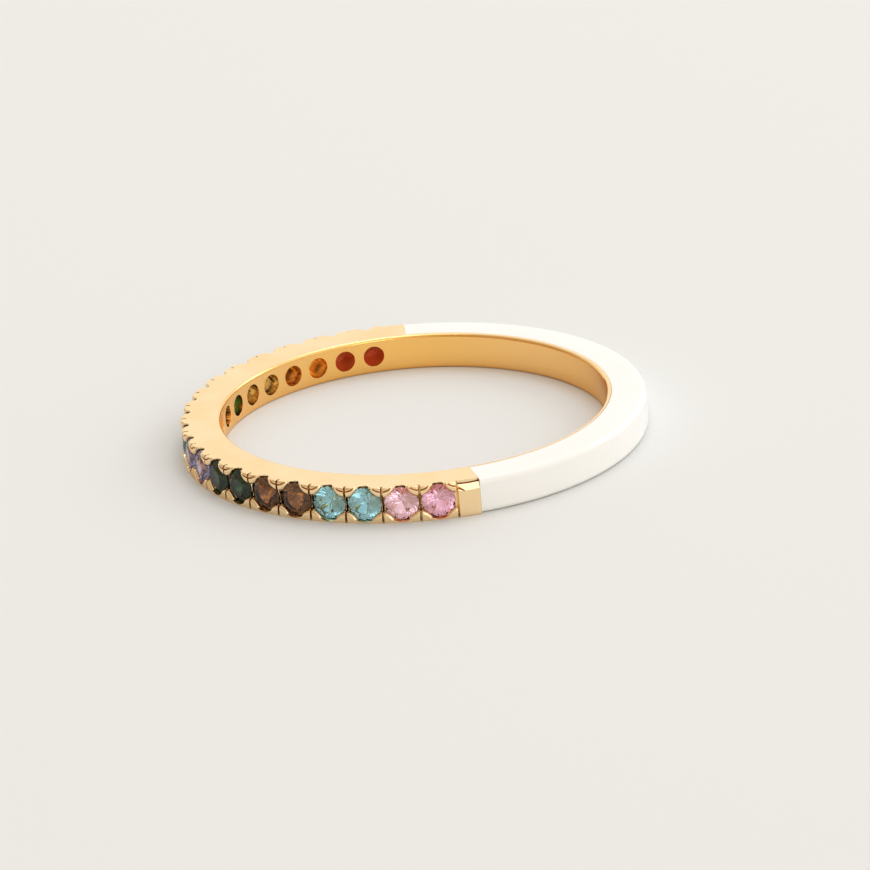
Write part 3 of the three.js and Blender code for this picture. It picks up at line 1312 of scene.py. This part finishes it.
@dataclass(frozen=True)
class Lamp:
    """One soft square light that faces the ring, in metres and watts."""

    name: str
    spot: Triple
    size: float
    watts: float

    def hang(self) -> None:
        """Hangs the light in the room."""
        lamp = bpy.data.lights.new(self.name, "AREA")
        lamp.size = self.size
        lamp.energy = self.watts
        spot = Vector(self.spot)
        light = bpy.data.objects.new(self.name, lamp)
        light.location = spot
        light.rotation_euler = (-spot).to_track_quat("-Z", "Y").to_euler()
        bpy.context.scene.collection.objects.link(light)


LAMPS = (
    Lamp("overhead", (-0.10, 0.06, 0.35), 0.22, 0.22),
    Lamp("window", (-0.12, 0.36, 0.2), 0.20, 0.2),
    Lamp("card", (0.47, 0.13, 0.13), 0.2, 0.12),
)


@dataclass
class Studio:
    """Pale floor, soft lights and the camera."""

    sizes: RingSizes
    azimuth: float = math.radians(82.3)
    elevation: float = math.radians(20.885)
    roll: float = math.radians(-4.624)
    distance_share: float = 30.478
    focal_pixels: float = 7106.46
    centre_pixels: Pair = (416.07, 436.1)
    image_size: float = 870.0
    sensor: float = 36.0
    near_clip: float = 0.01
    far_clip: float = 20.0
    floor_size: float = 4.0
    shaded_side: Triple = (0.25, -0.93, 0.26)
    bright_air: Triple = (1.0, 0.995, 0.98)
    shaded_air: Triple = (0.52, 0.42, 0.31)
    air_ends: Pair = (0.1, 0.75)
    world_strength: float = 1.06

    def camera(self) -> None:
        """Places the camera at the photograph's angle."""
        side = Vector((math.cos(self.azimuth), math.sin(self.azimuth), 0))
        out = Vector((math.sin(self.azimuth), -math.cos(self.azimuth), 0))
        away = -(out * math.cos(self.elevation) + Vector((0, 0, math.sin(self.elevation))))
        up = side.cross(away)
        right = side * math.cos(self.roll) + up * math.sin(self.roll)
        top = up * math.cos(self.roll) - side * math.sin(self.roll)
        distance = self.distance_share * self.sizes.outer * MILLIMETRE
        half = self.image_size / 2
        across = (self.centre_pixels[0] - half) / self.focal_pixels * distance
        upward = (half - self.centre_pixels[1]) / self.focal_pixels * distance
        spot = -right * across - top * upward - away * distance
        lens = bpy.data.cameras.new("camera")
        lens.sensor_width = self.sensor
        lens.lens = self.focal_pixels * self.sensor / self.image_size
        lens.clip_start = self.near_clip
        lens.clip_end = self.far_clip
        camera = bpy.data.objects.new("camera", lens)
        columns = Matrix((right, top, -away)).transposed()
        camera.matrix_world = Matrix.Translation(spot) @ columns.to_4x4()
        bpy.context.scene.collection.objects.link(camera)
        bpy.context.scene.camera = camera

    def floor(self) -> None:
        """Lays the plain pale floor."""
        clear_selection()
        bpy.ops.mesh.primitive_plane_add(size=self.floor_size, location=(0, 0, 0))
        floor = bpy.context.object
        floor.name = "floor"
        floor.data.materials.append(FloorFinish().build())

    def world(self) -> None:
        """Fills the room with soft light that fades towards its shaded side."""
        world = bpy.data.worlds.new("room")
        bpy.context.scene.world = world
        world.use_nodes = True
        tree = world.node_tree
        spot = tree.nodes.new("ShaderNodeTexCoord").outputs["Generated"]
        lean = tree.nodes.new("ShaderNodeVectorMath")
        lean.operation = "DOT_PRODUCT"
        lean.inputs[1].default_value = self.shaded_side
        tree.links.new(spot, lean.inputs[0])
        ramp = tree.nodes.new("ShaderNodeValToRGB")
        ends = ramp.color_ramp.elements
        ends[0].position, ends[1].position = self.air_ends
        ends[0].color = (*self.bright_air, 1.0)
        ends[1].color = (*self.shaded_air, 1.0)
        tree.links.new(lean.outputs["Value"], ramp.inputs["Fac"])
        background = tree.nodes["Background"]
        tree.links.new(ramp.outputs["Color"], background.inputs["Color"])
        background.inputs["Strength"].default_value = self.world_strength

    def build(self) -> None:
        """Sets up the whole studio."""
        self.camera()
        self.floor()
        self.world()
        for lamp in LAMPS:
            lamp.hang()
        bpy.context.scene.view_settings.view_transform = "Standard"
        LOG.info("set up the studio")


def main() -> None:
    """Builds the ring piece by piece and sets up its studio."""
    logging.basicConfig(level=logging.INFO, format="%(message)s")
    ring = Ring()
    Studio(ring.sizes).build()
    ring.gold()
    ring.enamel()
    ring.stones()


if __name__ == "__main__":
    main()
